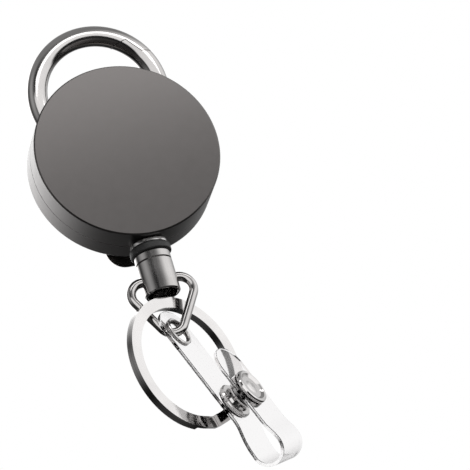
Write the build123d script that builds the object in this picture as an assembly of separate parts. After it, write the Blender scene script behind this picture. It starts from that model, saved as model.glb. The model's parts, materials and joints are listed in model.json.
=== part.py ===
"""Retractable badge reel: round metal case, spring-driven cord spool, belt clip, ring
carabiner, swivel ferrule, triangle ring, split ring and a clear snap strap.

Millimetres. The origin is the centre of the case's flat front face, X points right as the
front is seen, Y points to the back and Z points up. Everything is drawn at rest.
"""
from build123d import *
from math import acos, atan, cos, degrees, radians, sin, tan
import os

os.makedirs("parts", exist_ok=True)

# ---------------------------------------------------------------- driving dimensions
# case
CASE_R = 20.0
CASE_DEPTH = 11.2
CASE_WALL = 0.7
SEAM_Y = 5.9
SEAM_HALF_W = 0.11
SEAM_DEPTH = 0.2
FACE_EDGE_R = 0.3
LIP_WALL = 0.55
LIP_GAP = 0.05
LIP_REACH = 1.3
MID_Y = CASE_DEPTH / 2
POST_R = 2.0
HOOK_SLOT_W = 0.5
HOOK_SLOT_DEPTH = 1.2
WASHER_R = 8.0
RIVET_R = 1.25
RIVET_LENGTH = 3.9
RIVET_HEAD_R = 3.0
RUNNING_GAP = 0.05

# spool, power spring and cord
SPOOL_FRONT_Y = 1.35
SPOOL_BACK_Y = 9.85
FLANGE_T = 0.8
FLANGE_R = 16.5
DRUM_R = 11.6
CAVITY_R = 10.2
COVER_SEAT_R = 10.9
COVER_T = 0.6
WINDING_R = 13.0
CORD_R = 0.45
SPRING_T = 0.18
SPRING_PITCH = 0.62
SPRING_TURNS = 11
CRIMP_R = 1.6
CRIMP_LENGTH = 2.0

# nozzle, bumper, ferrule
NOZZLE_R = 3.15
NOZZLE_TOP_Z = -17.4
COLLAR_R = 4.1
COLLAR_BOTTOM_Z = -20.95
CORD_MOUTH_R = 0.75
BUMPER_R = 4.45
BUMPER_TOP_Z = -21.0
BUMPER_BOTTOM_Z = -22.7
FERRULE_R = 3.9
FERRULE_TOP_Z = -22.75
FERRULE_BOTTOM_Z = -31.9
FERRULE_BORE_R = 3.2
FERRULE_ROOF_T = 1.6
FERRULE_GROOVE_Z = -24.55
FERRULE_GROOVE_DEPTH = 0.2
CROSS_HOLE_Z = -28.45

# triangle ring
TRIANGLE_WIRE_R = 1.0
TRIANGLE_HALF_W = 8.9
TRIANGLE_H = 15.2
TRIANGLE_CORNER_R = 2.87

# split ring: two flat turns, turned about the vertical, its foot tilted back a little
SPLIT_CENTRE = (0.65, MID_Y + 0.82, -47.7)
SPLIT_TURN = 31.0
SPLIT_TILT = 1.0
SPLIT_OUTER_R = 15.0
SPLIT_INNER_R = 12.5
SPLIT_TURN_T = 0.85
SPLIT_LAYER_GAP = 0.04
SPLIT_STEP_START = 2.0
SPLIT_STEP_END = 16.0

# snap strap
HOLE_CENTRE = (0.7, MID_Y - 0.1, -41.0)
STRAP_TURN = 43.6
STRAP_LEAN = -13.0
STRAP_SWING = -20.4
STRAP_W = 10.5
STRAP_T = 0.8
STRAP_END = 5.4
STRAP_STRAIGHT = 22.5
SNAP_LEAF_STRAIGHT = 18.2
LOOP_R = 3.4
SNAP_S = 18.8
SNAP_R = 4.1
SNAP_SHANK_R = 1.2
EYELET_R = 3.35
EYELET_BORE_R = 2.4
EYELET_RIM_T = 0.25
STUD_BACK_R = 3.7
STUD_BACK_T = 0.55

# belt clip
CLIP_W = 14.4
CLIP_T = 0.8
CLIP_GAP = 5.3
CLIP_TOP_Z = 17.0
CLIP_BASE_BOTTOM_Z = -15.0
CLIP_HOLE_R = 4.8
CLIP_SLOPE = 14.7
CLIP_LIP_FLARE = 24.0
BOSS_ACROSS = 11.0
BOSS_T = 0.5

# ring carabiner
RING_R = 13.5
RING_WIRE_R = 2.24
RING_BOTTOM = (1.0, CASE_DEPTH + CLIP_T + CLIP_GAP / 2, 6.43)
RING_LEAN = 7.0
GATE_PIN_ANGLE = 112.0
GATE_PIN_R = 0.6
GATE_GAP = 0.16
KNUCKLE_R = 2.15
TONGUE_T = 1.7
TONGUE_GAP = 0.06


def save(node, shape):
    """Write one sub-part to its own STEP file."""
    export_step(shape, f"parts/{node}.step")
    print(f"{node:24s} {shape.volume:10.2f} mm3")


def rotate_about_y(points):
    """Solid of revolution about the case's middle line; points are (radius, y) pairs."""
    outline = Polyline(*points, close=True)
    return revolve(make_face(outline), Axis.Y)


def rotate_about_z(points):
    """Solid of revolution about the cord's axis; points are (radius, z) pairs."""
    outline = Polyline(*[(r, 0, z) for r, z in points], close=True)
    return Pos(0, MID_Y, 0) * revolve(make_face(outline), Axis.Z)


def rod_z(radius, z0, z1, x=0.0, y=MID_Y):
    return Pos(x, y, (z0 + z1) / 2) * Cylinder(radius, abs(z1 - z0))


def rod_y(radius, y0, y1, x=0.0, z=0.0):
    return Pos(x, (y0 + y1) / 2, z) * Rot(90, 0, 0) * Cylinder(radius, abs(y1 - y0))


def rod_x(radius, length, y, z):
    return Pos(0, y, z) * Rot(0, 90, 0) * Cylinder(radius, length)


class Ribbon:
    """A strip of even thickness that follows straight and round stretches in a plane."""

    def __init__(self, start, heading, stretches):
        self.start = start
        self.heading = heading
        self.stretches = stretches

    def side(self, offset):
        """Edges of the line at this offset to the left of the strip's middle."""
        heading = radians(self.heading)
        x = self.start[0] - offset * sin(heading)
        y = self.start[1] + offset * cos(heading)
        edges = []
        points = [(x, y)]
        for kind, size, turn in self.stretches:
            if kind == "line":
                end = (x + size * cos(heading), y + size * sin(heading))
                edges.append(Line((x, y), end))
            else:
                sign = 1 if turn > 0 else -1
                radius = size - offset * sign
                cx = x - sign * radius * sin(heading)
                cy = y + sign * radius * cos(heading)
                half = heading + radians(turn) / 2
                heading += radians(turn)
                middle = (cx + sign * radius * sin(half), cy - sign * radius * cos(half))
                end = (cx + sign * radius * sin(heading), cy - sign * radius * cos(heading))
                edges.append(ThreePointArc((x, y), middle, end))
            x, y = end
            points.append(end)
        return edges, points

    def face(self, thickness):
        left, left_points = self.side(thickness / 2)
        right, right_points = self.side(-thickness / 2)
        ends = [Line(left_points[0], right_points[0]), Line(left_points[-1], right_points[-1])]
        return make_face(left + right + ends)

    def end(self):
        """Where the middle line stops, and its heading there."""
        points = self.side(0)[1]
        heading = self.heading + sum(turn for kind, size, turn in self.stretches)
        return points[-1], heading


# ---------------------------------------------------------------- case
def cord_hole(radius):
    return rod_z(radius, -24, NOZZLE_TOP_Z + 0.3)


def make_front_cover():
    inner = CASE_R - CASE_WALL
    edge = FACE_EDGE_R
    cover = rotate_about_y([
        (0, 0), (CASE_R - edge, 0), (CASE_R, edge), (CASE_R, SEAM_Y - SEAM_HALF_W),
        (CASE_R - SEAM_DEPTH, SEAM_Y), (inner, SEAM_Y), (inner, CASE_WALL), (0, CASE_WALL)])
    return cover - cord_hole(NOZZLE_R + 0.02)


def make_rear_cover():
    inner = CASE_R - CASE_WALL
    lip_outer = inner - LIP_GAP
    lip_inner = lip_outer - LIP_WALL
    back = CASE_DEPTH
    cover = rotate_about_y([
        (0, back), (CASE_R - 0.5, back), (CASE_R - 0.15, back - 0.15), (CASE_R, back - 0.5),
        (CASE_R, SEAM_Y + SEAM_HALF_W), (CASE_R - SEAM_DEPTH, SEAM_Y), (lip_outer, SEAM_Y),
        (lip_outer, SEAM_Y - LIP_REACH), (lip_inner, SEAM_Y - LIP_REACH),
        (lip_inner, back - CASE_WALL), (0, back - CASE_WALL)])
    lip_notch = rod_z(NOZZLE_R + 0.85, -CASE_R + CASE_WALL, NOZZLE_TOP_Z + 0.3)
    rivet_hole = rod_y(RIVET_R, back - 2, back + 1)
    return cover - cord_hole(NOZZLE_R + 0.02) - lip_notch - rivet_hole


def make_cord_nozzle():
    return rotate_about_z([
        (CORD_MOUTH_R, NOZZLE_TOP_Z), (NOZZLE_R + 0.7, NOZZLE_TOP_Z), (NOZZLE_R + 0.7, NOZZLE_TOP_Z - 0.8),
        (NOZZLE_R, NOZZLE_TOP_Z - 0.8), (NOZZLE_R, -CASE_R), (3.55, -CASE_R),
        (3.7, -CASE_R - 0.12), (COLLAR_R - 0.1, -CASE_R - 0.12), (COLLAR_R, -CASE_R - 0.22),
        (COLLAR_R, COLLAR_BOTTOM_Z + 0.1), (COLLAR_R - 0.1, COLLAR_BOTTOM_Z),
        (CORD_MOUTH_R + 0.35, COLLAR_BOTTOM_Z), (CORD_MOUTH_R, COLLAR_BOTTOM_Z + 0.5)])


def make_centre_post():
    post = rod_y(POST_R, CASE_WALL, CASE_DEPTH - CASE_WALL)
    socket = rod_y(RIVET_R, CASE_DEPTH - RIVET_LENGTH - 0.1, CASE_DEPTH - CASE_WALL)
    slot_z = POST_R + 0.2 - HOOK_SLOT_DEPTH / 2
    hook_slot = Pos(0, MID_Y, slot_z) * Box(HOOK_SLOT_W, 6.4, HOOK_SLOT_DEPTH)
    return post - socket - hook_slot


def make_washer(y0, y1):
    return rod_y(WASHER_R, y0, y1) - rod_y(POST_R, y0 - 1, y1 + 1)


# ---------------------------------------------------------------- spool
def make_spool():
    bore = POST_R + RUNNING_GAP
    back_flange = SPOOL_BACK_Y - FLANGE_T
    front_floor = SPOOL_FRONT_Y + FLANGE_T
    seat = SPOOL_BACK_Y - COVER_T
    return rotate_about_y([
        (bore, SPOOL_FRONT_Y), (FLANGE_R, SPOOL_FRONT_Y), (FLANGE_R, front_floor),
        (DRUM_R, front_floor), (DRUM_R, back_flange), (FLANGE_R, back_flange),
        (FLANGE_R, SPOOL_BACK_Y), (COVER_SEAT_R, SPOOL_BACK_Y), (COVER_SEAT_R, seat),
        (CAVITY_R, seat), (CAVITY_R, front_floor), (bore, front_floor)])


def make_spring_cover():
    seat = SPOOL_BACK_Y - COVER_T
    plate = rod_y(COVER_SEAT_R, seat, SPOOL_BACK_Y)
    return plate - rod_y(POST_R + RUNNING_GAP, seat - 1, SPOOL_BACK_Y + 1)


def make_cord_winding():
    y0 = SPOOL_FRONT_Y + FLANGE_T
    y1 = SPOOL_BACK_Y - FLANGE_T
    return rod_y(WINDING_R, y0, y1) - rod_y(DRUM_R, y0 - 1, y1 + 1)


def make_power_spring():
    """Flat strip wound as half circles whose radius grows by half a pitch each time."""
    stretches = []
    radius = POST_R + SPRING_T / 2
    for _ in range(2 * SPRING_TURNS):
        stretches.append(("arc", radius, 180.0))
        radius += SPRING_PITCH / 2
    coil = Ribbon((POST_R + SPRING_T / 2, 0), 90.0, stretches)
    depth = SPOOL_BACK_Y - COVER_T - SPOOL_FRONT_Y - FLANGE_T - 0.6
    strip = extrude(coil.face(SPRING_T), depth)
    return Pos(0, SPOOL_FRONT_Y + FLANGE_T + 0.3 + depth, 0) * Rot(90, 0, 0) * strip


# ---------------------------------------------------------------- cord
LEAD_R = WINDING_R + CORD_R + 0.05
LEAD_ANGLE = degrees(acos(LEAD_R / abs(NOZZLE_TOP_Z - 0.1)))


def make_cord_lead():
    """Cord from the winding to the nozzle, straight along the winding's tangent."""
    direction = radians(LEAD_ANGLE - 90.0)
    leave = Vector(LEAD_R * cos(direction), MID_Y, LEAD_R * sin(direction))
    mouth = Vector(0, MID_Y, NOZZLE_TOP_Z - 0.1)
    run = mouth - leave
    end = mouth - run.normalized() * 1.0
    section = Plane(origin=leave, z_dir=run) * Circle(CORD_R)
    return extrude(section, (end - leave).length, dir=run.normalized())


def make_pull_cord():
    return rod_z(CORD_R, NOZZLE_TOP_Z - 0.9, FERRULE_TOP_Z - FERRULE_ROOF_T - 0.1)


def make_cord_crimp():
    top = FERRULE_TOP_Z - FERRULE_ROOF_T - 0.1
    low = top - CRIMP_LENGTH
    edge = 0.25
    return rotate_about_z([
        (0, top), (CRIMP_R - edge, top), (CRIMP_R, top - edge), (CRIMP_R, low + edge),
        (CRIMP_R - edge, low), (0, low)])


def make_rubber_bumper():
    bead = 0.35
    return rotate_about_z([
        (CORD_R + 0.02, BUMPER_TOP_Z), (BUMPER_R - bead, BUMPER_TOP_Z), (BUMPER_R, BUMPER_TOP_Z - bead),
        (BUMPER_R, BUMPER_BOTTOM_Z + bead), (BUMPER_R - bead, BUMPER_BOTTOM_Z),
        (CORD_R + 0.02, BUMPER_BOTTOM_Z)])


def make_ferrule():
    top = FERRULE_TOP_Z
    low = FERRULE_BOTTOM_Z
    groove = FERRULE_GROOVE_Z
    cut = FERRULE_GROOVE_DEPTH
    body = rotate_about_z([
        (CORD_MOUTH_R, top), (FERRULE_R - cut, top), (FERRULE_R, top - cut), (FERRULE_R, groove + cut),
        (FERRULE_R - cut, groove), (FERRULE_R, groove - cut), (FERRULE_R, low + 0.25),
        (FERRULE_R - 0.25, low), (FERRULE_BORE_R + 0.1, low), (FERRULE_BORE_R, low + 0.1),
        (FERRULE_BORE_R, top - FERRULE_ROOF_T), (CORD_MOUTH_R, top - FERRULE_ROOF_T)])
    return body - rod_x(TRIANGLE_WIRE_R + 0.06, 12, MID_Y, CROSS_HOLE_Z)


# ---------------------------------------------------------------- triangle ring
def make_triangle_ring():
    """Bent wire, closed but for a fine gap where its ends meet inside the ferrule."""
    half_angle = atan(TRIANGLE_HALF_W / TRIANGLE_H)
    corner = TRIANGLE_CORNER_R
    side_angle = radians(90) - half_angle
    reach = corner / tan(side_angle / 2)
    apex_reach = corner / tan(half_angle)
    slope = Vector(-sin(half_angle), 0, -cos(half_angle))
    top_right = Vector(TRIANGLE_HALF_W, MID_Y, CROSS_HOLE_Z)
    apex = Vector(0, MID_Y, CROSS_HOLE_Z - TRIANGLE_H)
    wire_end = Vector(0.1, MID_Y, CROSS_HOLE_Z)
    shoulder = top_right + Vector(-reach, 0, 0)
    shoulder_end = top_right + slope * reach
    foot_start = apex - slope * apex_reach
    foot = Vector(0, MID_Y, apex.Z + corner / sin(half_angle) - corner)
    shoulder_centre = shoulder + Vector(0, 0, -corner)
    outward = (top_right - shoulder_centre).normalized()
    half_turn = radians(45) - half_angle / 2
    foot_middle = foot + Vector(corner * sin(half_turn), 0, corner * (1 - cos(half_turn)))
    path = Wire([
        Edge.make_line(wire_end, shoulder),
        Edge.make_three_point_arc(shoulder, shoulder_centre + outward * corner, shoulder_end),
        Edge.make_line(shoulder_end, foot_start),
        Edge.make_three_point_arc(foot_start, foot_middle, foot)])
    half = sweep(Plane(origin=wire_end, z_dir=(1, 0, 0)) * Circle(TRIANGLE_WIRE_R), path=path)
    return half + mirror(half, Plane.YZ)


# ---------------------------------------------------------------- split ring
def split_frame():
    """z is the ring's front, x runs to the right along its face."""
    turn = radians(SPLIT_TURN)
    tilt = radians(SPLIT_TILT)
    front = (sin(turn) * cos(tilt), -cos(turn) * cos(tilt), -sin(tilt))
    return Plane(origin=SPLIT_CENTRE, x_dir=(cos(turn), sin(turn), 0), z_dir=front)


def ring_section(z0, z1):
    """The flat wire's cross-section at the right of the ring."""
    middle = (SPLIT_INNER_R + SPLIT_OUTER_R) / 2
    return Pos(middle, 0, (z0 + z1) / 2) * Rot(90, 0, 0) * Rectangle(SPLIT_OUTER_R - SPLIT_INNER_R, z1 - z0)


def flat_sector(start, end, z0, z1):
    """Part of a flat ring between two angles, counted from straight down, anticlockwise."""
    return Rot(0, 0, start - 90.0) * revolve(ring_section(z0, z1), Axis.Z, end - start)


def make_split_ring():
    """Rear turn, a step across, then the front turn."""
    near = SPLIT_LAYER_GAP / 2
    far = near + SPLIT_TURN_T
    rear = flat_sector(SPLIT_STEP_END, 353.0, -far, -near)
    front = flat_sector(SPLIT_STEP_END + 2.0, 360.0 + SPLIT_STEP_START, near, far)
    step = loft([
        Rot(0, 0, SPLIT_STEP_START - 90.0) * ring_section(near, far),
        Rot(0, 0, SPLIT_STEP_END - 90.0) * ring_section(-far, -near)])
    return split_frame() * (rear + step + front)


# ---------------------------------------------------------------- strap
def strap_frame():
    """x runs down the strap from its hole, y out of its front, z across it."""
    turned = Rot(0, 0, STRAP_TURN) * Rot(STRAP_LEAN, 0, 0) * Rot(0, STRAP_SWING, 0)
    down = turned * Pos(0, 0, -1)
    front = turned * Pos(0, -1, 0)
    across = down.position.cross(front.position)
    return Plane(origin=HOLE_CENTRE, x_dir=down.position, z_dir=across)


MAIN_LEAF = Ribbon((-STRAP_END, 0), 0.0, [
    ("line", STRAP_END + STRAP_STRAIGHT, 0), ("arc", 9.0, -18.0), ("arc", 20.0, 18.0),
    ("arc", LOOP_R, 90.0)])
LOOP_END, LOOP_HEADING = MAIN_LEAF.end()
SNAP_LEAF = Ribbon(LOOP_END, LOOP_HEADING, [
    ("arc", LOOP_R, 90.0), ("arc", 12.0, 12.0), ("arc", 12.0, -12.0),
    ("line", SNAP_LEAF_STRAIGHT, 0)])
LEAF_END = SNAP_LEAF.end()[0]
SNAP_LEAF_T0 = LEAF_END[1]


def leaf_solid(ribbon, end_x):
    band = Pos(0, 0, -STRAP_W / 2) * extrude(ribbon.face(STRAP_T), STRAP_W)
    corners = band.edges().filter_by(Axis.Y).filter_by(lambda e: abs(e.center().X - end_x) < 0.01)
    return fillet(corners, STRAP_W / 2 - 0.4)


def peg(radius, y0, y1, x):
    """A round piece through the strap's thickness, at x along it."""
    return Pos(x, (y0 + y1) / 2, 0) * Rot(90, 0, 0) * Cylinder(radius, y1 - y0)


def turned_peg(points, x):
    """A turned piece through the strap's thickness; points are (radius, y) pairs."""
    outline = Polyline(*points, close=True)
    return Pos(x, 0, 0) * revolve(make_face(outline), Axis.Y)


def make_main_leaf():
    leaf = leaf_solid(MAIN_LEAF, -STRAP_END)
    return strap_frame() * (leaf - peg(EYELET_BORE_R + 0.5, -2, 2, 0) - peg(SNAP_SHANK_R, -2, 2, SNAP_S))


def make_snap_leaf():
    leaf = leaf_solid(SNAP_LEAF, LEAF_END[0])
    return strap_frame() * (leaf - peg(SNAP_SHANK_R, SNAP_LEAF_T0 - 2, SNAP_LEAF_T0 + 2, SNAP_S))


def make_eyelet():
    """Rolled metal eyelet with a waisted bore."""
    bore = EYELET_BORE_R
    skin = STRAP_T / 2
    height = skin + EYELET_RIM_T
    barrel = bore + 0.5
    eyelet = turned_peg([
        (bore, -0.1), (bore, 0.1), (bore + 0.2, skin), (bore + 0.45, height),
        (EYELET_R - 0.15, height), (EYELET_R, height - 0.1), (EYELET_R, skin), (barrel, skin),
        (barrel, -skin), (EYELET_R, -skin), (EYELET_R, 0.1 - height),
        (EYELET_R - 0.15, -height), (bore + 0.45, -height), (bore + 0.2, -skin)], 0)
    return strap_frame() * eyelet


def make_stud_back():
    skin = STRAP_T / 2
    piece = turned_peg([
        (0, -skin - STUD_BACK_T), (STUD_BACK_R - 0.4, -skin - STUD_BACK_T),
        (STUD_BACK_R, -skin - STUD_BACK_T + 0.4), (STUD_BACK_R, -skin),
        (SNAP_SHANK_R, -skin), (SNAP_SHANK_R, skin), (0, skin)], SNAP_S)
    return strap_frame() * piece


def make_stud():
    skin = STRAP_T / 2
    piece = turned_peg([
        (0, skin), (SNAP_R, skin), (SNAP_R, skin + 0.5), (SNAP_R - 0.3, skin + 0.8),
        (3.0, skin + 0.8), (2.8, skin + 1.3), (1.5, skin + 1.3), (1.7, skin + 1.9),
        (1.6, skin + 2.4), (1.1, skin + 2.7), (0, skin + 2.7)], SNAP_S)
    return strap_frame() * piece


def make_socket():
    face = SNAP_LEAF_T0 - STRAP_T / 2
    piece = turned_peg([
        (0, face), (SNAP_R, face), (SNAP_R, face - 1.0), (SNAP_R - 0.4, face - 1.4),
        (3.2, face - 1.4), (3.0, face - 2.1), (2.15, face - 2.1), (2.0, face - 1.9),
        (2.0, face - 0.9), (0, face - 0.9)], SNAP_S)
    return strap_frame() * piece


def make_cap():
    inner = SNAP_LEAF_T0 - STRAP_T / 2
    face = SNAP_LEAF_T0 + STRAP_T / 2
    piece = turned_peg([
        (0, inner), (SNAP_SHANK_R, inner), (SNAP_SHANK_R, face), (SNAP_R, face), (SNAP_R, face + 0.45),
        (SNAP_R - 0.15, face + 0.75), (SNAP_R - 0.45, face + 0.9), (SNAP_R - 0.8, face + 0.85),
        (SNAP_R - 1.1, face + 0.6), (SNAP_R - 1.4, face + 0.4), (1.6, face + 0.4),
        (1.1, face + 0.55), (0, face + 0.65)], SNAP_S)
    return strap_frame() * piece


# ---------------------------------------------------------------- belt clip
FOLD_R = CLIP_GAP / 2 + CLIP_T / 2
FOLD_Z = CLIP_TOP_Z - FOLD_R - CLIP_T / 2


def clip_sheet(ribbon, end_radius, end_z):
    """Strip drawn in the plane of Y and Z, as wide as the clip."""
    face = ribbon.face(CLIP_T)
    strip = Plane(origin=(0, 0, 0), x_dir=(0, 1, 0), z_dir=(1, 0, 0)) * extrude(face, CLIP_W / 2, both=True)
    short = strip.edges().filter_by(lambda e: e.length < 1.2 and abs(e.center().Z - end_z) < 0.5)
    corners = short.filter_by(lambda e: abs(abs(e.center().X) - CLIP_W / 2) < 0.01)
    return fillet(corners, end_radius)


def make_clip_base():
    y = CASE_DEPTH + CLIP_T / 2
    length = FOLD_Z - CLIP_BASE_BOTTOM_Z
    strip = Ribbon((y, CLIP_BASE_BOTTOM_Z), 90.0, [("line", length, 0), ("arc", FOLD_R, -90.0)])
    sheet = clip_sheet(strip, 2.0, CLIP_BASE_BOTTOM_Z)
    return sheet - rod_y(RIVET_R, CASE_DEPTH - 1, CASE_DEPTH + 3)


CLIP_LEG = Ribbon((CASE_DEPTH + CLIP_T + CLIP_GAP / 2, CLIP_TOP_Z - CLIP_T / 2), 0.0, [
    ("arc", FOLD_R, -90.0), ("line", FOLD_Z - 5.0, 0), ("arc", 5.0, -CLIP_SLOPE), ("line", 17.0, 0),
    ("arc", 1.6, CLIP_SLOPE + CLIP_LIP_FLARE), ("line", 6.7, 0)])


def make_clip_leg():
    end = CLIP_LEG.end()[0]
    leg = clip_sheet(CLIP_LEG, 4.5, end[1])
    return leg - rod_y(CLIP_HOLE_R, CASE_DEPTH + CLIP_T + 0.2, CASE_DEPTH + 12)


def make_clip_boss():
    y = CASE_DEPTH + CLIP_T
    plate = extrude(RegularPolygon(BOSS_ACROSS / 2, 8, major_radius=False, rotation=22.5), BOSS_T)
    plate = chamfer(plate.faces().sort_by(Axis.Z)[-1].edges(), 0.2)
    plate = Pos(0, y, 0) * Rot(-90, 0, 0) * plate
    return plate - rod_y(RIVET_R, y - 1, y + 3)


def make_clip_rivet():
    """Domed head outside the clip, shank through clip and cover into the post."""
    seat = CASE_DEPTH + CLIP_T + BOSS_T
    tip = CASE_DEPTH - RIVET_LENGTH
    return rotate_about_y([
        (0, tip), (RIVET_R, tip), (RIVET_R, seat), (RIVET_HEAD_R, seat),
        (RIVET_HEAD_R - 0.1, seat + 0.35), (RIVET_HEAD_R - 0.7, seat + 0.75),
        (RIVET_HEAD_R - 1.8, seat + 0.95), (0, seat + 1.0)])


# ---------------------------------------------------------------- ring carabiner
def ring_frame():
    """Ring's own frame: x to the right, y up the ring, z to the front."""
    lean = radians(RING_LEAN)
    up = Vector(0, -sin(lean), cos(lean))
    centre = Vector(*RING_BOTTOM) + up * RING_R
    return Plane(origin=centre, x_dir=(1, 0, 0), z_dir=(0, -cos(lean), -sin(lean)))


def on_ring(angle, radius):
    """Point in the ring's plane, angle clockwise from the ring's top."""
    return (radius * sin(radians(angle)), radius * cos(radians(angle)))


PIN_XY = on_ring(GATE_PIN_ANGLE, RING_R)


def gate_area():
    """The gate's outline in the ring's plane, with its stepped nose."""
    wire_inside = RING_R - RING_WIRE_R
    wire_outside = RING_R + RING_WIRE_R
    nose = [
        on_ring(28.7, wire_inside), on_ring(38.0, RING_R), on_ring(56.0, RING_R),
        on_ring(62.0, wire_outside)]
    outer = [on_ring(angle, wire_outside + 3) for angle in (64.0, 88.0, GATE_PIN_ANGLE)]
    inner = [on_ring(angle, wire_inside - 3) for angle in (GATE_PIN_ANGLE, 70.0)]
    outline = Polyline(*nose, *outer, *inner, on_ring(20.0, wire_inside - 1.2), close=True)
    return make_face(outline)


def torus_wire():
    return Torus(RING_R, RING_WIRE_R)


def pin_rod(radius, length):
    return Pos(PIN_XY[0], PIN_XY[1], 0) * Cylinder(radius, length)


def make_gate():
    """Bent arm that ends in a thin knuckle between the ring's ears."""
    area = extrude(gate_area(), 5, both=True)
    arm = (torus_wire() & area) - pin_rod(KNUCKLE_R + 0.12, 6)
    knuckle = pin_rod(KNUCKLE_R - 0.1, TONGUE_T) & torus_wire()
    neck_outline = Polyline(
        on_ring(GATE_PIN_ANGLE, RING_R - 2.0), on_ring(GATE_PIN_ANGLE, RING_R + 2.0),
        on_ring(98.0, RING_R + 2.0), on_ring(98.0, RING_R - 2.0), close=True)
    neck = extrude(make_face(neck_outline), TONGUE_T / 2, both=True) & torus_wire()
    gate = arm + knuckle + neck - pin_rod(GATE_PIN_R + 0.05, 8)
    return ring_frame() * gate


def make_carabiner_ring():
    """Open ring with two ears that hold the gate's pin."""
    area = offset(gate_area(), GATE_GAP)
    opened = torus_wire() - extrude(area, 5, both=True)
    tongue_room = TONGUE_T + 2 * TONGUE_GAP
    ears = (pin_rod(KNUCKLE_R, 6) & torus_wire()) - Box(60, 60, tongue_room)
    body = opened + ears - pin_rod(KNUCKLE_R + 0.06, tongue_room) - pin_rod(GATE_PIN_R, 8)
    return ring_frame() * body


def make_gate_pin():
    return ring_frame() * pin_rod(GATE_PIN_R, 2 * RING_WIRE_R - 0.4)


# ---------------------------------------------------------------- write the parts
save("front_cover", make_front_cover())
save("rear_cover", make_rear_cover())
save("cord_nozzle", make_cord_nozzle())
save("centre_post", make_centre_post())
save("front_washer", make_washer(CASE_WALL, SPOOL_FRONT_Y - 0.05))
save("rear_washer", make_washer(SPOOL_BACK_Y + 0.05, CASE_DEPTH - CASE_WALL))
save("spool", make_spool())
save("spring_cover", make_spring_cover())
save("power_spring", make_power_spring())
save("cord_winding", make_cord_winding())
save("cord_lead", make_cord_lead())
save("pull_cord", make_pull_cord())
save("cord_crimp", make_cord_crimp())
save("rubber_bumper", make_rubber_bumper())
save("ferrule", make_ferrule())
save("triangle_ring", make_triangle_ring())
save("split_ring", make_split_ring())
save("strap_main_leaf", make_main_leaf())
save("strap_snap_leaf", make_snap_leaf())
save("strap_eyelet", make_eyelet())
save("snap_stud_back", make_stud_back())
save("snap_stud", make_stud())
save("snap_socket", make_socket())
save("snap_cap", make_cap())
save("belt_clip_base", make_clip_base())
save("belt_clip_leg", make_clip_leg())
save("clip_boss", make_clip_boss())
save("clip_rivet", make_clip_rivet())
save("carabiner_ring", make_carabiner_ring())
save("carabiner_gate", make_gate())
save("gate_pin", make_gate_pin())
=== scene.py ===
"""Looks of the retractable badge reel: finishes, clear strap, spring clip, cord and studio.

Metres, in the CAD model's own frame: the front face's centre is the origin, X points right,
Y to the back and Z up.
"""
import json
import math

import bpy
from bpy.props import FloatProperty, FloatVectorProperty, IntProperty, PointerProperty
from mathutils import Matrix, Vector


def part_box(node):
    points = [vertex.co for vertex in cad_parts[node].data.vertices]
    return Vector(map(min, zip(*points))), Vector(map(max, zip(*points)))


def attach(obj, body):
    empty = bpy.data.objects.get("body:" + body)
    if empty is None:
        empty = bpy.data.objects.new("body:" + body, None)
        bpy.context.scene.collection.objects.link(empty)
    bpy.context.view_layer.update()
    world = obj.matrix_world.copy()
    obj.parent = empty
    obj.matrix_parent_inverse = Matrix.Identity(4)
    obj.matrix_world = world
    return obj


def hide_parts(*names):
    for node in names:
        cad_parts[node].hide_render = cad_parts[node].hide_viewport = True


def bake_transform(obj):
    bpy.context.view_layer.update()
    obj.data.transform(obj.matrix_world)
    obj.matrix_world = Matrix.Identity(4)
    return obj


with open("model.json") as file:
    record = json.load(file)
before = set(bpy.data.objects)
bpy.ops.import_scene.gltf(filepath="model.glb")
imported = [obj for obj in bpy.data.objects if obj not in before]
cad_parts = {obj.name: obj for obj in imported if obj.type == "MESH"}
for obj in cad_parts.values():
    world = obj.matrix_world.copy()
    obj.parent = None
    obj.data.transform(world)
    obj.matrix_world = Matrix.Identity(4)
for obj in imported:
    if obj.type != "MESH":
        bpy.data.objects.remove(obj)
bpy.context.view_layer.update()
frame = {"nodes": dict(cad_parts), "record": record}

bl_info = {
    "name": "Badge Reel",
    "version": (1, 0, 0),
    "blender": (4, 5, 0),
    "location": "3D View > Sidebar > Badge Reel",
    "description": "Finishes and soft parts of a retractable badge reel",
    "category": "Object",
}

MM = 0.001
CASE_BACK_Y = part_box("rear_cover")[1].y
MID_Y = CASE_BACK_Y / 2
JOINTS = {joint["name"]: joint for joint in frame["record"]["behaviour"]["joints"]}
SAME_PLACE = 1e-6

# strap, along its middle line from the eyelet's end: a run, a bend off and back, the loop, a jog, a run
STRAP_HOLE_TO_END = 5.4 * MM
STRAP_MAIN_RUN = 27.9 * MM
STRAP_BEND_R = (9 * MM, 20 * MM)
STRAP_BEND = 18
STRAP_LOOP_R = 3.4 * MM
STRAP_JOG_R = 12 * MM
STRAP_JOG = 12
STRAP_SNAP_RUN = 18.2 * MM

# belt clip, from its fold down the outer leg: a knee, the slope, and the lip that flares out again
CLIP_KNEE_R = 5 * MM
CLIP_SLOPE = 14.7
CLIP_SLOPE_RUN = 17 * MM
CLIP_LIP_R = 1.6 * MM
CLIP_LIP = 38.7
CLIP_LIP_RUN = 6.7 * MM
CLIP_BASE_CORNER = 2 * MM
CLIP_LIP_CORNER = 4.5 * MM
CLIP_HOLE_BEHIND_CASE = 6 * MM

# cord and bumper
CORD_SIDES = 20
CORD_RINGS = 24
CORD_CLEARANCE = 0.02 * MM
BUMPER_SIDES = 72
BUMPER_ROUNDING = 0.22
BUMPER_HOLE_R = 0.5 * MM


# ---------------------------------------------------------------- what a user may change
def colour(name, text, default):
    return FloatVectorProperty(name=name, description=text, subtype="COLOR", size=3,
                               min=0.0, max=1.0, default=default)


def length(name, text, default):
    return FloatProperty(name=name, description=text, subtype="DISTANCE", unit="LENGTH", default=default)


def angle(name, text, degrees):
    return FloatProperty(name=name, description=text, subtype="ANGLE", unit="ROTATION",
                         default=math.radians(degrees))


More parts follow.
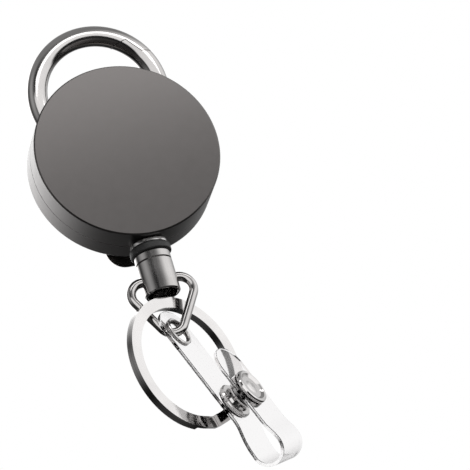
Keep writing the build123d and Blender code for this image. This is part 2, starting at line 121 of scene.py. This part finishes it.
def factor(name, text, default):
    return FloatProperty(name=name, description=text, subtype="FACTOR", min=0.0, max=1.0, default=default)


class ReelFinish(bpy.types.PropertyGroup):
    gunmetal: colour("Gunmetal", "Satin plating of the case", (0.103, 0.097, 0.095))
    dark_chrome: colour("Dark chrome", "Polished plating of ring, clip and ferrule", (0.36, 0.35, 0.345))
    clip_brown: colour("Clip", "Dark plating of the belt clip", (0.17, 0.155, 0.145))
    nickel: colour("Nickel", "Bright plating of rings and snaps", (0.47, 0.46, 0.456))
    satin: factor("Satin", "Roughness of the case", 0.36)
    polish: factor("Polish", "Roughness of polished metal", 0.1)
    rubber: colour("Rubber", "Bumper at the nozzle", (0.012, 0.012, 0.012))
    cord: colour("Cord", "Braided cord", (0.02, 0.02, 0.022))
    vinyl: colour("Vinyl", "Clear strap", (0.97, 0.962, 0.962))
    # colour of the painted shade on the clear strap where its surface turns away from the camera
    vinyl_painted_edge_shade: colour("Vinyl edge", "Clear strap where it turns away", (0.4, 0.39, 0.395))
    spool: colour("Spool", "Plastic inside the case", (0.83, 0.82, 0.78))


class ReelStage(bpy.types.PropertyGroup):
    azimuth: angle("Azimuth", "Camera's turn to the left of the front", -16.98)
    elevation: angle("Elevation", "Camera's height, negative from below", -22.1)
    roll: angle("Roll", "Camera's turn about its own line of sight", -17.0)
    distance: length("Distance", "From the case's middle to the camera", 0.9)
    case_right: length("Case right", "How far right of the picture's middle the case is", -0.02373)
    case_up: length("Case up", "How far above the picture's middle the case is", 0.01574)
    lens: FloatProperty(name="Lens", description="Focal length in millimetres", default=324.0)
    floor_z: length("Floor", "Height of the floor, below the cord at full reach", -0.8)


class ReelStrip(bpy.types.PropertyGroup):
    strap_width: length("Strap width", "Width of the clear strap", 0.0105)
    strap_thickness: length("Strap thickness", "Thickness of the clear strap", 0.0008)
    strap_corner: length("Strap corner", "Rounding of the strap's ends", 0.00485)
    eyelet_hole: length("Eyelet hole", "Radius of the strap's hole", 0.0029)
    clip_width: length("Clip width", "Width of the belt clip", 0.0144)
    clip_thickness: length("Clip thickness", "Thickness of the belt clip's strip", 0.0008)
    clip_hole: length("Clip hole", "Radius of the hole in the clip's leg", 0.0048)
    edge: length("Edge", "Softening of the strips' edges", 0.00014)
    bend_steps: IntProperty(name="Bend steps", description="Faces in a quarter turn", default=12)


# ---------------------------------------------------------------- small helpers
def clear_selection():
    if bpy.context.object and bpy.context.object.mode != "OBJECT":
        bpy.ops.object.mode_set(mode="OBJECT")
    bpy.ops.object.select_all(action="DESELECT")


def finish_piece(piece, name, finish, smooth=40.0):
    """Names a piece, welds it, turns its faces outwards and gives it its finish."""
    clear_selection()
    piece.name = name
    piece.data.name = name
    piece.select_set(True)
    bpy.context.view_layer.objects.active = piece
    bpy.ops.object.transform_apply(location=True, rotation=True, scale=True)
    bpy.ops.object.mode_set(mode="EDIT")
    bpy.ops.mesh.select_all(action="SELECT")
    bpy.ops.mesh.remove_doubles(threshold=SAME_PLACE)
    bpy.ops.mesh.normals_make_consistent(inside=False)
    bpy.ops.object.mode_set(mode="OBJECT")
    bpy.ops.object.shade_smooth_by_angle(angle=math.radians(smooth))
    piece.data.materials.clear()
    piece.data.materials.append(finish)
    piece.select_set(False)
    return piece


def apply_modifier(piece, kind, **settings):
    """Gives the piece a modifier with these settings and applies it."""
    clear_selection()
    piece.select_set(True)
    bpy.context.view_layer.objects.active = piece
    modifier = piece.modifiers.new(kind.title(), kind)
    for key, value in settings.items():
        setattr(modifier, key, value)
    bpy.ops.object.modifier_apply(modifier=modifier.name)


def select_vertices(piece, test):
    """In edit mode, select the vertices whose place passes the test."""
    bpy.ops.object.mode_set(mode="OBJECT")
    for v in piece.data.vertices:
        v.select = test(v.co)
    for e in piece.data.edges:
        e.select = all(piece.data.vertices[i].select for i in e.vertices)
    for f in piece.data.polygons:
        f.select = all(piece.data.vertices[i].select for i in f.vertices)
    bpy.ops.object.mode_set(mode="EDIT")


def bend_strip(origin, ahead, side, start, heading, stretches, width, quarter_steps):
    """A flat band led along straight and round stretches, and the place where it ends.

    ahead and side span the plane that the band bends in, and headings turn from ahead to
    side. A stretch is a (length, None) run or a (radius, degrees) arc. The first is a run.
    """
    across = ahead.cross(side)
    place = origin + ahead * start[0] + side * start[1]
    turned = math.radians(heading)
    going = ahead * math.cos(turned) + side * math.sin(turned)
    clear_selection()
    bpy.ops.mesh.primitive_plane_add(size=1.0)
    band = bpy.context.object
    run = stretches[0][0]
    axes = Matrix((going, across, going.cross(across))).transposed().to_4x4()
    size = Matrix.Diagonal((run, width, 1, 1))
    band.matrix_world = Matrix.Translation(place + going * run / 2) @ axes @ size
    bpy.ops.object.transform_apply(location=True, rotation=True, scale=True)
    place = place + going * run
    select_vertices(band, lambda co: (co - place).dot(going) > -SAME_PLACE)
    bpy.ops.mesh.select_mode(type="EDGE")
    for size, degrees in stretches[1:]:
        if degrees is None:
            bpy.ops.mesh.extrude_region_move(TRANSFORM_OT_translate={"value": going * size})
            place = place + going * size
            continue
        sign = math.copysign(1.0, degrees)
        left = across.cross(going)
        centre = place + left * size * sign
        steps = max(3, round(quarter_steps * abs(degrees) / 90.0))
        bpy.ops.mesh.spin(steps=steps, angle=-math.radians(degrees), center=centre, axis=across)
        turn = Matrix.Rotation(math.radians(degrees), 3, across)
        place = centre + turn @ (place - centre)
        going = turn @ going
    bpy.ops.object.mode_set(mode="OBJECT")
    return band, place


def round_corners(band, end, width, radius, segments=10):
    """Rounds the two corners of the band's end at this place."""
    select_vertices(band, lambda co: abs((co - end).length - width / 2) < 1e-5)
    bpy.ops.mesh.select_mode(type="VERT")
    bpy.ops.mesh.bevel(offset=radius, segments=segments, affect="VERTICES")
    bpy.ops.object.mode_set(mode="OBJECT")


def finish_strip(band, name, finish, edge):
    """Softens a strip's edges, finishes it and keeps its flat stretches flat in the light."""
    apply_modifier(band, "BEVEL", width=edge, segments=3, limit_method="ANGLE", angle_limit=math.radians(50))
    strip = finish_piece(band, name, bpy.data.materials[finish])
    apply_modifier(strip, "WEIGHTED_NORMAL", weight=100, keep_sharp=True)
    return strip


def bore(piece, centre, axis, radius, depth):
    """Cuts a round hole through the piece."""
    clear_selection()
    bpy.ops.mesh.primitive_cylinder_add(vertices=48, radius=radius, depth=depth)
    cutter = bpy.context.object
    cutter.matrix_world = Matrix.Translation(centre) @ axis.to_track_quat("Z", "X").to_matrix().to_4x4()
    bpy.context.view_layer.update()
    apply_modifier(piece, "BOOLEAN", object=cutter, operation="DIFFERENCE", solver="EXACT")
    bpy.data.objects.remove(cutter)


# ---------------------------------------------------------------- finishes
class NodeKit:
    """Short ways to add and join nodes in a node tree."""

    def __init__(self, tree, coordinate):
        self.nodes = tree.nodes
        self.links = tree.links
        self.place = self.nodes.new("ShaderNodeTexCoord").outputs[coordinate]

    def split(self, vector):
        node = self.nodes.new("ShaderNodeSeparateXYZ")
        self.links.new(vector, node.inputs["Vector"])
        return node.outputs["X"], node.outputs["Y"], node.outputs["Z"]

    def spread(self, value, low, high, start=0.3, end=0.7, kind="LINEAR"):
        """Maps start..end to low..high."""
        node = self.nodes.new("ShaderNodeMapRange")
        node.interpolation_type = kind
        node.inputs["From Min"].default_value = start
        node.inputs["From Max"].default_value = end
        node.inputs["To Min"].default_value = low
        node.inputs["To Max"].default_value = high
        self.links.new(value, node.inputs["Value"])
        return node.outputs["Result"]

    def math(self, operation, a, b=None):
        node = self.nodes.new("ShaderNodeMath")
        node.operation = operation
        for socket, value in zip(node.inputs, (a, b)):
            if value is None:
                continue
            if isinstance(value, (int, float)):
                socket.default_value = value
            else:
                self.links.new(value, socket)
        return node.outputs[0]

    def ramp(self, value, stops):
        """Grey ramp; stops are (place, brightness) pairs."""
        node = self.nodes.new("ShaderNodeValToRGB")
        elements = node.color_ramp.elements
        elements[0].position, elements[1].position = stops[0][0], stops[-1][0]
        for place, _ in stops[1:-1]:
            elements.new(place)
        for element, (_, grey) in zip(elements, stops):
            element.color = (grey, grey, grey, 1.0)
        self.links.new(value, node.inputs["Fac"])
        return node.outputs["Color"]


class Shader(NodeKit):
    """A principled material with short ways to add the nodes that vary it."""

    def __init__(self, name, **sockets):
        self.material = bpy.data.materials.new(name)
        self.material.use_nodes = True
        super().__init__(self.material.node_tree, "Object")
        self.bsdf = self.nodes["Principled BSDF"]
        for key, value in sockets.items():
            socket = self.bsdf.inputs[key.replace("_", " ").title().replace("Ior", "IOR")]
            socket.default_value = (*value, 1.0) if hasattr(value, "__len__") else value

    def moved(self, scale=(1, 1, 1), shift=(0, 0, 0)):
        mapping = self.nodes.new("ShaderNodeMapping")
        mapping.inputs["Location"].default_value = shift
        mapping.inputs["Scale"].default_value = scale
        self.links.new(self.place, mapping.inputs["Vector"])
        return mapping.outputs["Vector"]

    def noise(self, scale, detail=4.0, stretch=(1, 1, 1), distortion=0.0):
        node = self.nodes.new("ShaderNodeTexNoise")
        node.inputs["Scale"].default_value = scale
        node.inputs["Detail"].default_value = detail
        node.inputs["Distortion"].default_value = distortion
        self.links.new(self.moved(stretch), node.inputs["Vector"])
        return node.outputs["Fac"]

    def tint(self, value, first, second):
        node = self.nodes.new("ShaderNodeMix")
        node.data_type = "RGBA"
        node.inputs[6].default_value = (*first, 1.0)
        node.inputs[7].default_value = (*second, 1.0)
        self.links.new(value, node.inputs[0])
        self.links.new(node.outputs[2], self.bsdf.inputs["Base Color"])

    def rough(self, value):
        self.links.new(value, self.bsdf.inputs["Roughness"])

    def bump(self, height, strength, distance):
        node = self.nodes.new("ShaderNodeBump")
        node.inputs["Strength"].default_value = strength
        node.inputs["Distance"].default_value = distance
        self.links.new(height, node.inputs["Height"])
        self.links.new(node.outputs["Normal"], self.bsdf.inputs["Normal"])


BRAID_STRANDS = 4.0
BRAID_TURNS = 9000.0


def shade(tone, amount):
    """A colour made darker or brighter."""
    return tuple(min(1.0, c * amount) for c in tone)


def satin_metal(finish):
    """Plated case: fine blasted grain, faint handling marks and lathe lines round its rim."""
    s = Shader("gunmetal_satin", metallic=1.0, base_color=finish.gunmetal)
    grain = s.noise(9000.0, 2.0)
    marks = s.noise(420.0, 5.0, distortion=0.6)
    lathe = s.noise(1.0, 3.0, stretch=(25.0, 9000.0, 25.0))
    s.tint(s.spread(marks, 0.0, 1.0), shade(finish.gunmetal, 0.985), shade(finish.gunmetal, 1.02))
    base = s.spread(marks, finish.satin - 0.008, finish.satin + 0.008)
    s.rough(s.math("ADD", base, s.spread(grain, -0.02, 0.02)))
    s.bump(s.math("ADD", s.math("MULTIPLY", grain, 0.4), lathe), 0.12, 0.00002)
    return s.material


def polished_metal(name, tone, polish, wear=1.12):
    """Plating over smooth wire or sheet: hairline scratches and softly clouded polish."""
    s = Shader(name, metallic=1.0, base_color=tone)
    cloud = s.noise(160.0, 4.0, distortion=0.3)
    hair = s.noise(700.0, 3.0, stretch=(1.0, 9.0, 1.0), distortion=0.2)
    s.tint(s.spread(cloud, 0.0, 1.0), shade(tone, 0.94), shade(tone, wear))
    s.rough(s.math("ADD", s.spread(cloud, polish * 0.7, polish * 1.3), s.spread(hair, 0.0, 0.03)))
    s.bump(s.math("ADD", hair, cloud), 0.05, 0.00001)
    return s.material


def rubber(finish):
    """Bumper: moulded grain with a little dust in it."""
    s = Shader("matte_rubber", base_color=finish.rubber, specular_ior_level=0.35)
    grain = s.noise(5200.0, 4.0)
    dust = s.noise(380.0, 4.0)
    s.tint(s.spread(dust, 0.0, 1.0, 0.45, 0.8), finish.rubber, shade(finish.rubber, 2.2))
    s.rough(s.spread(dust, 0.42, 0.62))
    s.bump(grain, 0.25, 0.00003)
    return s.material


def clear_vinyl(finish):
    """Soft clear strap: fine surface ripple from calendering, faint haze, and painted shade that greys it
    where it turns away from the camera.
    """
    s = Shader("soft_clear_vinyl", base_color=finish.vinyl, transmission_weight=1.0, ior=1.16,
               specular_ior_level=0.5)
    ripple = s.noise(260.0, 3.0, distortion=0.4)
    haze = s.noise(1500.0, 4.0)
    weight = s.nodes.new("ShaderNodeLayerWeight")
    weight.inputs["Blend"].default_value = 0.35
    # painted shade: the strap's base colour goes grey where its surface turns away from the camera
    s.tint(s.spread(weight.outputs["Facing"], 0.0, 1.0, 0.4, 0.9), finish.vinyl, finish.vinyl_painted_edge_shade)
    s.rough(s.spread(haze, 0.03, 0.1))
    s.bump(ripple, 0.1, 0.0001)
    return s.material


def braid(finish):
    """Braided cord: two crossing sets of strands round the cord, with painted shade between the strands and
    a painted highlight on their crests.
    """
    s = Shader("braided_cord", base_color=finish.cord, sheen_weight=0.4)
    x, y, z = s.split(s.moved(shift=(0.0, -MID_Y, 0.0)))
    turn = s.math("ARCTAN2", y, x)
    round_cord = s.math("MULTIPLY", turn, BRAID_STRANDS)
    run = s.math("MULTIPLY", z, BRAID_TURNS)
    one = s.math("SINE", s.math("ADD", round_cord, run))
    two = s.math("SINE", s.math("SUBTRACT", round_cord, run))
    weave = s.math("MAXIMUM", one, two)
    # painted shade in the grooves between strands and painted highlight on their crests, following the
    # strand pattern
    s.tint(s.spread(weave, 0.0, 1.0, -1.0, 1.0), shade(finish.cord, 0.5), shade(finish.cord, 1.8))
    s.rough(s.spread(weave, 0.8, 0.55, -1.0, 1.0))
    s.bump(weave, 0.6, 0.00008)
    return s.material


def moulded_plastic(name, tone):
    """Spool and washers: fine mould grain and faint flow lines."""
    s = Shader(name, base_color=tone, specular_ior_level=0.45)
    grain = s.noise(2600.0, 4.0)
    flow = s.noise(70.0, 3.0, distortion=1.2)
    s.tint(s.spread(flow, 0.0, 1.0), shade(tone, 0.94), shade(tone, 1.04))
    s.rough(s.spread(grain, 0.38, 0.52))
    s.bump(grain, 0.15, 0.00003)
    return s.material


def blued_strip(tone):
    """Power spring: rolled strip, blued in places by its hardening."""
    s = Shader("spring_strip", metallic=1.0, base_color=tone)
    rolling = s.noise(1.0, 3.0, stretch=(60.0, 6000.0, 60.0))
    heat = s.noise(220.0, 3.0)
    s.tint(s.spread(heat, 0.0, 1.0), HEAT_BLUE, tone)
    s.rough(s.spread(rolling, 0.22, 0.38))
    s.bump(rolling, 0.15, 0.00002)
    return s.material


TURNED_STEEL = (0.56, 0.56, 0.57)
SPRING_STEEL = (0.42, 0.43, 0.46)
HEAT_BLUE = (0.2, 0.23, 0.32)
FINISH_OF = {
    "gunmetal_satin": ("front_cover", "rear_cover"),
    "dark_chrome_plating": ("carabiner_ring", "carabiner_gate", "ferrule", "triangle_ring"),
    "clip_plating": ("clip_boss", "clip_rivet"),
    "bright_nickel": ("split_ring", "strap_eyelet", "snap_stud_back", "snap_stud", "snap_socket",
                      "snap_cap", "cord_nozzle"),
    "turned_steel": ("gate_pin", "centre_post", "cord_crimp"),
    "moulded_spool": ("spool", "spring_cover"),
    "moulded_washer": ("front_washer", "rear_washer"),
    "spring_strip": ("power_spring",),
    "braided_cord": ("cord_winding", "cord_lead"),
}


class REEL_OT_finishes(bpy.types.Operator):
    """Make the finishes and put them on the CAD nodes"""
    bl_idname = "reel.finishes"
    bl_label = "Finishes"

    def execute(self, context):
        finish = context.scene.reel_finish
        satin_metal(finish)
        polished_metal("dark_chrome_plating", finish.dark_chrome, finish.polish)
        polished_metal("clip_plating", finish.clip_brown, finish.polish * 1.6)
        polished_metal("bright_nickel", finish.nickel, finish.polish * 0.9, 1.08)
        polished_metal("turned_steel", TURNED_STEEL, 0.25)
        rubber(finish)
        clear_vinyl(finish)
        braid(finish)
        moulded_plastic("moulded_spool", finish.spool)
        moulded_plastic("moulded_washer", shade(finish.spool, 0.9))
        blued_strip(SPRING_STEEL)
        for name, nodes in FINISH_OF.items():
            for node in nodes:
                part = frame["nodes"][node]
                part.data.materials.clear()
                part.data.materials.append(bpy.data.materials[name])
        return {"FINISHED"}


# ---------------------------------------------------------------- pieces
class REEL_OT_strap(bpy.types.Operator):
    """Model the clear strap, folded into a loop between its eyelet and its snap"""
    bl_idname = "reel.strap"
    bl_label = "Clear strap"

    def execute(self, context):
        strip = context.scene.reel_strip
        out = -Vector(JOINTS["strap_swing"]["axis"])
        across = -Vector(JOINTS["snap_open"]["axis"])
        down = out.cross(across)
        hole = Vector(JOINTS["strap_swing"]["pos_m"])
        first, back = STRAP_BEND_R
        stretches = [
            (STRAP_MAIN_RUN, None), (first, -STRAP_BEND), (back, STRAP_BEND), (STRAP_LOOP_R, 180),
            (STRAP_JOG_R, STRAP_JOG), (STRAP_JOG_R, -STRAP_JOG), (STRAP_SNAP_RUN, None)]
        band, end = bend_strip(hole, down, out, (-STRAP_HOLE_TO_END, 0.0), 0.0, stretches,
                               strip.strap_width, strip.bend_steps)
        round_corners(band, hole - down * STRAP_HOLE_TO_END, strip.strap_width, strip.strap_corner)
        round_corners(band, end, strip.strap_width, strip.strap_corner)
        apply_modifier(band, "SOLIDIFY", thickness=strip.strap_thickness, offset=0.0)
        bore(band, hole, out, strip.eyelet_hole, 5 * strip.strap_thickness)
        strap = finish_strip(band, "clear_strap", "soft_clear_vinyl", strip.edge)
        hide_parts("strap_main_leaf", "strap_snap_leaf")
        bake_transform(strap)
        return {"FINISHED"}


class REEL_OT_clip(bpy.types.Operator):
    """Model the belt clip from one bent strip"""
    bl_idname = "reel.clip"
    bl_label = "Belt clip"

    def execute(self, context):
        strip = context.scene.reel_strip
        up, back = Vector((0, 0, 1)), Vector((0, 1, 0))
        half = strip.clip_thickness / 2
        base_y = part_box("belt_clip_base")[0].y + half
        base_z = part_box("belt_clip_base")[0].z
        fold_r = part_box("belt_clip_base")[1].y - CASE_BACK_Y - half
        fold_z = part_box("belt_clip_base")[1].z - fold_r - half
        stretches = [
            (fold_z - base_z, None), (fold_r, 180), (fold_z - CLIP_KNEE_R, None), (CLIP_KNEE_R, CLIP_SLOPE),
            (CLIP_SLOPE_RUN, None), (CLIP_LIP_R, -CLIP_LIP), (CLIP_LIP_RUN, None)]
        band, end = bend_strip(Vector((0, 0, 0)), up, back, (base_z, base_y), 0.0, stretches,
                               strip.clip_width, strip.bend_steps)
        round_corners(band, Vector((0, base_y, base_z)), strip.clip_width, CLIP_BASE_CORNER)
        round_corners(band, end, strip.clip_width, CLIP_LIP_CORNER)
        apply_modifier(band, "SOLIDIFY", thickness=strip.clip_thickness, offset=0.0)
        leg_middle = Vector((0, CASE_BACK_Y + CLIP_HOLE_BEHIND_CASE, 0))
        bore(band, leg_middle, back, strip.clip_hole, 1.5 * CLIP_HOLE_BEHIND_CASE)
        clip = finish_strip(band, "belt_clip", "clip_plating", strip.edge)
        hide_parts("belt_clip_base", "belt_clip_leg")
        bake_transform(clip)
        return {"FINISHED"}


class REEL_OT_cord(bpy.types.Operator):
    """Model the braided cord between the nozzle and the ferrule"""
    bl_idname = "reel.cord"
    bl_label = "Pull cord"

    def execute(self, context):
        low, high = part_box("pull_cord")
        middle = (low + high) / 2
        reach = high.z - low.z
        clear_selection()
        radius = (high.x - low.x) / 2 - CORD_CLEARANCE
        bpy.ops.mesh.primitive_cylinder_add(vertices=CORD_SIDES, radius=radius, depth=reach, location=middle)
        cord = context.object
        bpy.ops.object.transform_apply(location=True, rotation=True, scale=True)
        bpy.ops.object.mode_set(mode="EDIT")
        for k in range(1, CORD_RINGS):
            bpy.ops.mesh.select_all(action="SELECT")
            bpy.ops.mesh.bisect(plane_co=(middle.x, middle.y, low.z + reach * k / CORD_RINGS),
                                plane_no=(0, 0, 1))
        bpy.ops.object.mode_set(mode="OBJECT")
        piece = finish_piece(cord, "braided_pull_cord", bpy.data.materials["braided_cord"])
        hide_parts("pull_cord")
        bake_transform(piece)
        return {"FINISHED"}


class REEL_OT_bumper(bpy.types.Operator):
    """Model the rubber ring that lands on the nozzle"""
    bl_idname = "reel.bumper"
    bl_label = "Rubber bumper"

    def execute(self, context):
        low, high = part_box("rubber_bumper")
        middle = (low + high) / 2
        radius = (high.x - low.x) / 2
        depth = high.z - low.z
        clear_selection()
        bpy.ops.mesh.primitive_cylinder_add(vertices=BUMPER_SIDES, radius=radius, depth=depth,
                                            location=middle)
        ring = context.object
        bpy.ops.object.transform_apply(location=True, rotation=True, scale=True)
        for level in (low.z, high.z):
            select_vertices(ring, lambda co: abs(co.z - level) < SAME_PLACE)
            bpy.ops.mesh.bevel(offset=BUMPER_ROUNDING * depth, segments=6)
        bpy.ops.object.mode_set(mode="OBJECT")
        bore(ring, middle, Vector((0, 0, 1)), BUMPER_HOLE_R, 3 * depth)
        piece = finish_piece(ring, "bumper_ring", bpy.data.materials["matte_rubber"], 50.0)
        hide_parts("rubber_bumper")
        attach(piece, "cord_end")
        return {"FINISHED"}


# ---------------------------------------------------------------- stage
def camera_axes(stage):
    """Right, up and back of the camera, with its roll."""
    a, e = stage.azimuth, stage.elevation
    back = Vector((math.sin(a) * math.cos(e), -math.cos(a) * math.cos(e), math.sin(e)))
    right = Vector((math.cos(a), math.sin(a), 0.0))
    up = back.cross(right)
    turned_right = right * math.cos(stage.roll) + up * math.sin(stage.roll)
    return turned_right, back.cross(turned_right), back


# brightness of the studio round the horizon, by degrees anticlockwise from the camera as seen from above
STUDIO_STOPS = (
    (-180, 0.25), (-165, 1.3), (-140, 1.6), (-122, 0.6), (-108, 0.05), (-98, 0.03), (-84, 0.15), (-74, 0.25),
    (-57, 0.34), (-41, 0.25), (-29, 0.1), (-18, 0.02), (-7, 0.02), (3, 0.1), (22, 0.12), (38, 0.25),
    (53, 0.55), (69, 0.82), (98, 0.88), (122, 0.7), (140, 0.4), (165, 0.22), (180, 0.25))
STUDIO_POWER = 2.0
# the big soft box: it fades in and out between these parts of a turn, and between these heights
SOFT_BOX_TURN = ((0.415, 0.445), (0.76, 0.81))
SOFT_BOX_HEIGHT = ((-0.4, -0.28), (0.27, 0.34))
SOFT_BOX_GLOW = 0.9
WALL_FOOT = (-0.45, 0.3)
CEILING_EDGE = (0.55, 0.85)
CEILING_GLOW = 0.2
TABLE_GLOW = (0.05, 0.008)
TABLE_EDGE = (-0.9, -0.5)
# a narrow lamp above the case that lights the upper part of its face
LAMP_PLACE = (0.022, -0.08, 0.064)
LAMP_AIM = (0.0, 0.0, 0.014)
LAMP_SIZE = (0.15, 0.03)
LAMP_POWER = 0.045
FLOOR_TONES = ((0.9, 0.9, 0.9), (0.92, 0.92, 0.92))


def make_world(stage):
    """White backdrop to the camera; a studio of soft boxes and black flags to the metal."""
    world = bpy.data.worlds.new("studio")
    bpy.context.scene.world = world
    world.use_nodes = True
    w = NodeKit(world.node_tree, "Generated")
    x, y, z = w.split(w.place)
    turn = w.math("DIVIDE", w.math("ARCTAN2", x, w.math("MULTIPLY", y, -1.0)), 2 * math.pi)
    round_way = w.math("FRACT", w.math("ADD", turn, 1.5 - stage.azimuth / (2 * math.pi)))
    band = w.ramp(round_way, [(degrees / 360 + 0.5, grey) for degrees, grey in STUDIO_STOPS])
    above_floor = w.spread(z, 0.0, 1.0, *WALL_FOOT, "SMOOTHSTEP")
    ceiling = w.spread(z, 0.0, 1.0, *CEILING_EDGE, "SMOOTHSTEP")
    walls = w.math("MULTIPLY", w.math("MULTIPLY", band, above_floor), w.math("SUBTRACT", 1.0, ceiling))
    box = w.math("MULTIPLY", w.spread(round_way, 0.0, 1.0, *SOFT_BOX_TURN[0], "SMOOTHSTEP"),
                 w.spread(round_way, 1.0, 0.0, *SOFT_BOX_TURN[1], "SMOOTHSTEP"))
    box = w.math("MULTIPLY", box, w.spread(z, 0.0, SOFT_BOX_GLOW, *SOFT_BOX_HEIGHT[0], "SMOOTHSTEP"))
    box = w.math("MULTIPLY", box, w.spread(z, 1.0, 0.0, *SOFT_BOX_HEIGHT[1], "SMOOTHSTEP"))
    glow = w.math("ADD", w.math("MAXIMUM", walls, box), w.math("MULTIPLY", ceiling, CEILING_GLOW))
    table = w.spread(z, *TABLE_GLOW, *TABLE_EDGE)
    studio = w.nodes["Background"]
    w.links.new(w.math("ADD", glow, table), studio.inputs["Color"])
    studio.inputs["Strength"].default_value = STUDIO_POWER
    white = w.nodes.new("ShaderNodeBackground")
    white.inputs["Color"].default_value = (1, 1, 1, 1)
    rays = w.nodes.new("ShaderNodeLightPath")
    seen = w.math("MAXIMUM", rays.outputs["Is Camera Ray"], rays.outputs["Is Transmission Ray"])
    mix = w.nodes.new("ShaderNodeMixShader")
    w.links.new(seen, mix.inputs[0])
    w.links.new(studio.outputs[0], mix.inputs[1])
    w.links.new(white.outputs[0], mix.inputs[2])
    w.links.new(mix.outputs[0], w.nodes["World Output"].inputs["Surface"])


def add_lamp():
    """Narrow soft lamp above the case."""
    bpy.ops.object.light_add(type="AREA", location=LAMP_PLACE)
    lamp = bpy.context.object
    lamp.name = "face_softbox"
    lamp.data.shape = "RECTANGLE"
    lamp.data.size, lamp.data.size_y = LAMP_SIZE
    lamp.data.energy = LAMP_POWER
    lamp.rotation_mode = "QUATERNION"
    lamp.rotation_quaternion = (Vector(LAMP_PLACE) - Vector(LAMP_AIM)).to_track_quat("Z", "Y")


def add_floor(height):
    """Pale floor that the metal doesn't mirror."""
    bpy.ops.mesh.primitive_plane_add(size=30.0, location=(0.0, 0.0, height))
    floor = bpy.context.object
    floor.name = "floor"
    pale = Shader("pale_floor", base_color=FLOOR_TONES[0], roughness=0.8)
    pale.tint(pale.spread(pale.noise(4.0), 0.0, 1.0), *FLOOR_TONES)
    floor.data.materials.append(pale.material)
    floor.visible_glossy = False


class REEL_OT_stage(bpy.types.Operator):
    """Set the floor, the backdrop, the soft lights and the camera"""
    bl_idname = "reel.stage"
    bl_label = "Stage"

    def execute(self, context):
        stage = context.scene.reel_stage
        context.scene.view_settings.view_transform = "Standard"
        case_middle = Vector((0.0, MID_Y, 0.0))
        right, up, back = camera_axes(stage)
        eye = case_middle - right * stage.case_right - up * stage.case_up + back * stage.distance
        bpy.ops.object.camera_add(location=eye)
        camera = context.object
        camera.name = "camera"
        camera.rotation_mode = "QUATERNION"
        camera.rotation_quaternion = Matrix((right, up, back)).transposed().to_quaternion()
        camera.data.lens = stage.lens
        camera.data.clip_start = 0.01
        camera.data.clip_end = 50.0
        context.scene.camera = camera
        add_floor(stage.floor_z)
        make_world(stage)
        add_lamp()
        return {"FINISHED"}


class REEL_PT_panel(bpy.types.Panel):
    """Buttons of the badge reel"""
    bl_idname = "REEL_PT_panel"
    bl_label = "Badge Reel"
    bl_space_type = "VIEW_3D"
    bl_region_type = "UI"
    bl_category = "Badge Reel"

    def draw(self, context):
        for name in STEPS:
            self.layout.operator(name)
        for group in ("reel_finish", "reel_strip", "reel_stage"):
            settings = getattr(context.scene, group)
            for key in settings.bl_rna.properties.keys():
                if key not in ("rna_type", "name"):
                    self.layout.prop(settings, key)


STEPS = ("reel.stage", "reel.finishes", "reel.strap", "reel.clip", "reel.cord", "reel.bumper")
CLASSES = (ReelFinish, ReelStage, ReelStrip, REEL_OT_finishes, REEL_OT_strap, REEL_OT_clip, REEL_OT_cord,
           REEL_OT_bumper, REEL_OT_stage, REEL_PT_panel)


def register():
    for item in CLASSES:
        bpy.utils.register_class(item)
    bpy.types.Scene.reel_finish = PointerProperty(type=ReelFinish)
    bpy.types.Scene.reel_stage = PointerProperty(type=ReelStage)
    bpy.types.Scene.reel_strip = PointerProperty(type=ReelStrip)


def unregister():
    del bpy.types.Scene.reel_strip
    del bpy.types.Scene.reel_stage
    del bpy.types.Scene.reel_finish
    for item in reversed(CLASSES):
        bpy.utils.unregister_class(item)


def main():
    register()
    for name in STEPS:
        group, step = name.split(".")
        clear_selection()
        getattr(getattr(bpy.ops, group), step)()


if __name__ == "__main__":
    main()
